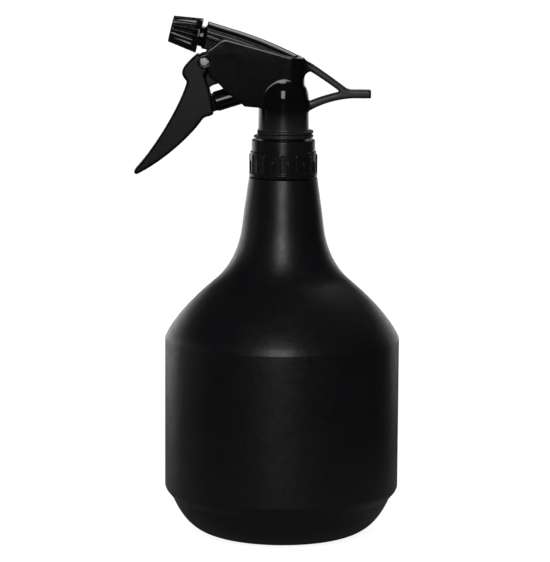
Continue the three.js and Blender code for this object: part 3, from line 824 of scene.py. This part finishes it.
def rib_outline():
    """The middle rib, with a boss round the link pin's slot."""
    boss = 3.05
    low_z = LINK[1] - SLOT_REACH
    points = [(-46.4, 229), (-51.6, 210.5)]
    points += curve((-51.6, 210.5), (-46, 212.5), (LINK[0], low_z - boss), steps=6)
    points += arc((LINK[0], low_z), boss, -90, 0, steps=8)
    points += [(LINK[0] + boss, LINK[1] + SLOT_REACH), (-37.6, 222.6)]
    points += curve((-37.6, 222.6), (-35.6, 225.2), (-31.2, 225.6), steps=6)
    points += [(-29.8, 227.8), (-35.8, 232.8)]
    return points


def build_trigger():
    grid = Grid((-76, -7.6, 179), (-28, 7.6, 242.4), 0.33)
    field = slab(grid, trigger_outline(), TRIGGER_HALF, 1.3)
    field = carve(field, slab(grid, pocket_outline(), POCKET_HALF, 0.6), 0.4)
    field = fuse(field, slab(grid, rib_outline(), RIB_HALF, 0.3), 0.5)
    field = carve(field, pivot_hole(grid), 0.2)
    slot = np.hypot(grid.x - LINK[0], np.maximum(np.abs(grid.z - LINK[1]) - SLOT_REACH, 0)) - 1.85
    field = carve(field, np.maximum(slot, np.abs(grid.y) - 3), 0.2)
    return add_moulded("trigger_lever", grid, field, "trigger", "trigger_grey", ["trigger"])


# ---- Nozzle ----

FLUTES = 16
CAP_LENGTH = 14.3
CAP_INNER = 6


def nozzle_profile():
    """The cap in its own frame: from inside the bore, round the rear rim, along the wall and back in."""
    bore, rear, front, mouth = 5.6, 8.65, 6.7, 2.2
    rim, bore_end, middle, steps = -0.45, 11, 4, 24
    wall_start, wall_length = rim + 0.8, CAP_LENGTH - rim - 1.6
    wall = [(rear + (front - rear) * t, wall_start + wall_length * t) for t in np.linspace(0, 1, steps + 1)]
    points = eased([(bore, middle), (bore, rim, 0.3), (rear, rim, 0.45), wall[0]], 4) + wall[1:]
    points += eased([
        wall[-1], (front - 0.1, CAP_LENGTH, 0.7), (mouth + 1.6, CAP_LENGTH, 0.25),
        (mouth, CAP_LENGTH - 2.0, 0.3), (mouth, bore_end, 0.2), (bore, bore_end, 0.3), (bore, middle),
    ], 5)[1:]
    return points


def nozzle_shape(radius, height, angles):
    """Round lobes with narrow valleys between, which deepen towards the rear and fade out at its rim."""
    if radius < CAP_INNER or height < 0:
        return np.full(len(angles), radius)
    valley = 1 - np.abs(np.cos(angles * FLUTES / 2))
    fade = min(max((height - 0.9) / 2, 0), 1)
    depth = 0.4 + 0.9 * max(0, 1 - height / CAP_LENGTH)
    return radius - depth * valley * fade * (2 - fade)


def build_nozzle():
    add_turned("nozzle_knob", nozzle_profile(), "nozzle", "head_black", ["nozzle_cap"], NOZZLE_PLACE,
               segments=FLUTES * 18, shape=nozzle_shape, sharp_angle=60, finish="cap_black")
    disc = eased([
        (0.6, 9.4), (0.6, 9), (5.2, 9, 0.3), (5.2, 10.7, 0.3), (1.4, 10.7, 0.15), (0.6, 9.8), (0.6, 9.4),
    ], 4)
    add_turned("orifice_plate", disc, "nozzle_carrier", "natural_plastic", ["orifice_disc"], NOZZLE_PLACE,
               segments=64)
    ring = arc((4.85, SEAL_RING_PLACE), 0.43, 0, 360, steps=20)
    ring[-1] = ring[0]
    add_turned("stub_o_ring", ring, "head", "seal_rubber", ["nozzle_o_ring"], NOZZLE_PLACE)
    core = eased([(0, -2), (1.2, -2, 0.2), (1.2, 4, 0.2), (1.9, 4, 0.2), (1.9, 6.8, 0.3), (0, 6.8)], 4)
    add_turned("spray_core", core, "head", "natural_plastic", ["swirl_core"], NOZZLE_PLACE, segments=48)


# ---- Pump ----

SEAL_STARTS = (19.7, 23.7)


def piston_profile():
    """Half of the plunger: a cup, open at its rear, with a groove for each seal."""
    radius, groove, front, rear, cup, floor = 4.9, 4.1, 2, 26, 3.5, 4.5
    points = [(0, front), (radius, front)]
    for start in SEAL_STARTS:
        low, high = start - 0.3, start + 1.5
        points += [(radius, low), (groove, low), (groove, high), (radius, high)]
    return points + [(radius, rear), (cup, rear), (cup, floor), (0, floor)]


def fork_outline():
    half, start, reach = 4.3, 2.5, LINK_DISTANCE + 1
    return ([(-half, start), (-half, reach)] + arc((0, LINK_DISTANCE), 3, 180, 360, steps=16)
            + [(half, reach), (half, start)])


def build_piston():
    """The plunger and its fork, in the pump's own frame: X across, Z along the axis.

    The plunger is grown a little, which rounds its corners and closes the profile's edge on the axis.
    """
    grid = Grid((-5.6, -5.6, -5.2), (5.6, 5.6, 26.8), 0.25)
    growth, prong_centre, prong_half, hole_radius = 0.12, 2.5, 0.9, 1.8
    cup = outline_distance(piston_profile(), np.hypot(grid.x, grid.y), grid.z) - growth
    across = np.abs(np.abs(grid.y) - prong_centre) - prong_half
    prongs = meet(outline_distance(fork_outline(), grid.x, grid.z), across, 0.25)
    hole = np.hypot(grid.x, grid.z - LINK_DISTANCE) - hole_radius
    field = carve(fuse(cup, prongs, 0.4), hole, 0.2)
    add_moulded("piston_plunger", grid, field, "piston", "head_black", ["piston"], PUMP_PLACE)


def build_pump_parts():
    for end_name, start in zip(("front", "rear"), SEAL_STARTS):
        inner, waist, lip, middle, end = 4.4, 4.85, 5.15, start + 0.6, start + 1.2
        seal = eased([
            (inner, middle), (inner, start, 0.1), (lip, start, 0.15), (waist, middle, 0.2), (lip, end, 0.15),
            (inner, end, 0.1), (inner, middle),
        ], 4)
        add_turned(end_name + "_seal", seal, "piston", "seal_rubber", ["piston_seal_" + end_name], PUMP_PLACE)
    gland = eased([
        (5.2, 16.6), (5.2, 15.6, 0.3), (6.4, 15.6, 0.35), (6.4, 17.6, 0.2), (5.2, 17.6, 0.2), (5.2, 16.6),
    ], 4)
    add_turned("gland_ring", gland, "head", "head_black", ["cylinder_gland"], PUMP_PLACE)
    add_coil("return_spring", 2.8, 0.4, 4.9, 35.1, 8, ["piston_spring"], PUMP_PLACE)
    add_coil("valve_spring", 1.9, 0.3, 235.4, 239.9, 4.5, ["outlet_spring"])


def cross_pin(name, radius, half_length, x, z, body, slot, nodes):
    """A round pin across the head, with slightly domed ends."""
    tip, edge = -half_length - 0.1, -half_length + 0.25
    crown = [(0, tip)] + curve((0, tip), (radius * 0.75, tip), (radius, edge))
    profile = crown + [(r, -h) for r, h in reversed(crown)]
    place = Matrix.Translation(Vector((x, 0, z)) * MM) @ Matrix.Rotation(math.pi / 2, 4, "X")
    add_turned(name, profile, body, slot, nodes, place, segments=64)


def build_pins():
    cross_pin("trigger_pin", PIN_RADIUS, 9.2, PIVOT[0], PIVOT[2], "head", "pin_white", ["pivot_pin"])
    cross_pin("fork_pin", 1.5, 3.9, LINK[0], LINK[1], "piston", "spring_steel", ["link_pin"])


# ---- Valves and dip tube ----

def build_valves():
    inlet_seat = eased([
        (3.35, 206), (3.35, 200, 0.3), (5.2, 200, 0.4), (5.2, 219.2, 0.3), (3.5, 219.2, 0.2), (3.5, 215.2),
        (1.8, 214, 0.2), (1.8, 212.3), (3.35, 212.3), (3.35, 206),
    ], 4)
    add_turned("inlet_seat", inlet_seat, "head", "natural_plastic", ["inlet_valve_seat"], segments=64)
    ball_z, ball_radius = 216.35, 2.6
    ball = [(0, ball_z - ball_radius)]
    ball += arc((0, ball_z), ball_radius, -84, 84, steps=28)
    ball += [(0, ball_z + ball_radius)]
    add_turned("check_ball", ball, "inlet_ball", "spring_steel", ["inlet_ball"], segments=48)
    seat = 233.9
    poppet = eased([
        (0, seat - 2.2), (1.3, seat - 1.8, 0.2), (1.3, seat), (2.7, seat, 0.25), (2.7, seat + 1.3, 0.25),
        (1.1, seat + 1.3, 0.2), (1.1, seat + 3.2, 0.3), (0, seat + 3.2),
    ], 4)
    add_turned("outlet_poppet", poppet, "outlet_valve", "natural_plastic", ["outlet_valve"], segments=48)
    inner, outer, low, high = 10.9, 13.4, 190.3, 191.9
    gasket = eased([
        (inner, 191.1), (inner, low, 0.2), (outer, low, 0.2), (outer, high, 0.2), (inner, high, 0.2),
        (inner, 191.1),
    ], 4)
    add_turned("neck_gasket", gasket, "head", "seal_rubber", ["gasket"])


def build_dip_tube():
    inner, outer, middle = 2, 3, 100
    low, high = box_mm("dip_tube")[0][2], box_mm("dip_tube")[1][2]
    tube = eased([
        (inner, middle), (inner, low, 0.3), (outer, low, 0.3), (outer, high, 0.3), (inner, high, 0.3),
        (inner, middle),
    ], 4)
    add_turned("suction_tube", tube, "head", "natural_plastic", ["dip_tube"], segments=64)
    grid = Grid((-5.4, -5.4, 2.2), (5.4, 5.4, 16.8), 0.22)
    cup = [(0, 3), (4.0, 3), (4.6, 3.8), (4.6, 16), (3.35, 16), (3.35, 8), (2.4, 8), (2.4, 4.2), (0, 4.2)]
    mirrored = cup + [(-r, z) for r, z in reversed(cup)]
    field = outline_distance(mirrored, np.hypot(grid.x, grid.y), grid.z)
    slot_half, slot_z, slot_half_height = 0.8, 6, 1.3
    for across in (grid.x, grid.y):
        slot = np.maximum(np.abs(across) - slot_half, np.abs(grid.z - slot_z) - slot_half_height)
        field = carve(field, slot, 0.2)
    add_moulded("tube_strainer", grid, field, "head", "natural_plastic", ["suction_strainer"])


# ---- Stage, light and camera ----

def build_stage():
    """A pale floor under the object, which reflects as a dim one and so leaves the bottle's foot dark."""
    material, tree, shader = new_material("studio_floor")
    mottle = ranged(tree, noise(tree, 30, 3), 0, 1)
    tree.links.new(blended(tree, mottle, (0.93, 0.93, 0.93), (0.95, 0.95, 0.95)), shader.inputs["Base Color"])
    tree.links.new(ranged(tree, noise(tree, 80, 3), 0.6, 0.7), shader.inputs["Roughness"])
    shader.inputs["Specular IOR Level"].default_value = 0.2
    shader.inputs["Emission Strength"].default_value = 0.9
    shader.inputs["Emission Color"].default_value = (1, 1, 1, 1)
    rays = tree.nodes.new("ShaderNodeLightPath")
    dim = node(tree, "ShaderNodeBsdfDiffuse", {"Color": (0.4, 0.4, 0.4, 1)})
    mix = tree.nodes.new("ShaderNodeMixShader")
    tree.links.new(rays.outputs["Is Camera Ray"], mix.inputs[0])
    tree.links.new(dim.outputs[0], mix.inputs[1])
    tree.links.new(shader.outputs[0], mix.inputs[2])
    tree.links.new(mix.outputs[0], tree.nodes["Material Output"].inputs["Surface"])
    count, reach, drop = 96, 0.2, 0.0004
    angles = [2 * math.pi * k / count for k in range(count)]
    ring = [(reach * math.cos(a), reach * math.sin(a), -drop) for a in angles]
    mesh = bpy.data.meshes.new("studio_floor")
    mesh.from_pydata(ring, [], [list(range(count))])
    mesh.materials.append(material)
    floor = bpy.data.objects.new("studio_floor", mesh)
    bpy.context.scene.collection.objects.link(floor)


LIGHT_DISTANCE = 1.6
LIGHT_TARGET = (0, 0, 0.15)


def area_light(name, azimuth, elevation, width, height, power):
    """A softbox seen from the object at an azimuth (0 is the camera's side) and an elevation, in degrees."""
    light = bpy.data.lights.new(name, "AREA")
    light.shape = "RECTANGLE"
    light.size, light.size_y = width, height
    light.energy = power
    lamp = bpy.data.objects.new(name, light)
    turn, lift = math.radians(azimuth), math.radians(elevation)
    back = Vector((math.sin(turn) * math.cos(lift), -math.cos(turn) * math.cos(lift), math.sin(lift)))
    lamp.location = Vector(LIGHT_TARGET) + back * LIGHT_DISTANCE
    lamp.rotation_mode = "QUATERNION"
    lamp.rotation_quaternion = (-back).to_track_quat("-Z", "Y")
    lamp.visible_camera = False
    bpy.context.scene.collection.objects.link(lamp)


def build_light():
    world = bpy.data.worlds.new("studio")
    bpy.context.scene.world = world
    world.use_nodes = True
    tree = world.node_tree
    tree.nodes.clear()
    rays = tree.nodes.new("ShaderNodeLightPath")
    seen = node(tree, "ShaderNodeBackground", {"Color": (1, 1, 1, 1), "Strength": 1.05})
    lit = node(tree, "ShaderNodeBackground", {"Color": (0.9, 0.95, 1, 1), "Strength": 0.03})
    mix = tree.nodes.new("ShaderNodeMixShader")
    output = tree.nodes.new("ShaderNodeOutputWorld")
    tree.links.new(rays.outputs["Is Camera Ray"], mix.inputs[0])
    tree.links.new(lit.outputs[0], mix.inputs[1])
    tree.links.new(seen.outputs[0], mix.inputs[2])
    tree.links.new(mix.outputs[0], output.inputs["Surface"])
    area_light("key_softbox", -3, 24, 0.42, 1.25, 9)
    area_light("backdrop", 180, -2, 1.5, 0.45, 2.6)
    area_light("left_panel", -140, 0, 1.0, 0.7, 2.6)
    area_light("left_fill", -100, 5, 1.0, 1.0, 0.5)
    area_light("right_panel", 145, 0, 0.6, 0.7, 0.8)
    area_light("rear_softbox", 160, 47, 0.7, 0.75, 3.6)


CAMERA_DISTANCE = 1.45
CAMERA_ELEVATION = 8.2
CAMERA_ROLL = 0.36
CAMERA_TARGET = (-0.00375, 0, 0.1269)
CAMERA_LENS = 185.8


def build_camera():
    data = bpy.data.cameras.new("camera")
    data.lens = CAMERA_LENS
    camera = bpy.data.objects.new("camera", data)
    lift = math.radians(CAMERA_ELEVATION)
    back = Vector((0, -math.cos(lift), math.sin(lift)))
    camera.location = Vector(CAMERA_TARGET) + back * CAMERA_DISTANCE
    aim = (-back).to_track_quat("-Z", "Y").to_matrix().to_4x4()
    camera.rotation_mode = "QUATERNION"
    camera.rotation_quaternion = (aim @ Matrix.Rotation(math.radians(CAMERA_ROLL), 4, "Z")).to_quaternion()
    bpy.context.scene.collection.objects.link(camera)
    bpy.context.scene.camera = camera


bpy.context.scene.view_settings.view_transform = "Standard"
build_camera()
build_light()
build_stage()
build_bottle()
build_collar()
build_housing()
build_barrel()
build_trigger()
build_nozzle()
build_piston()
build_pump_parts()
build_pins()
build_valves()
build_dip_tube()
pump_cylinder_mesh = frame["nodes"]["pump_cylinder"].data
pump_cylinder_mesh.materials.clear()
pump_cylinder_mesh.materials.append(finishes["head_black"])
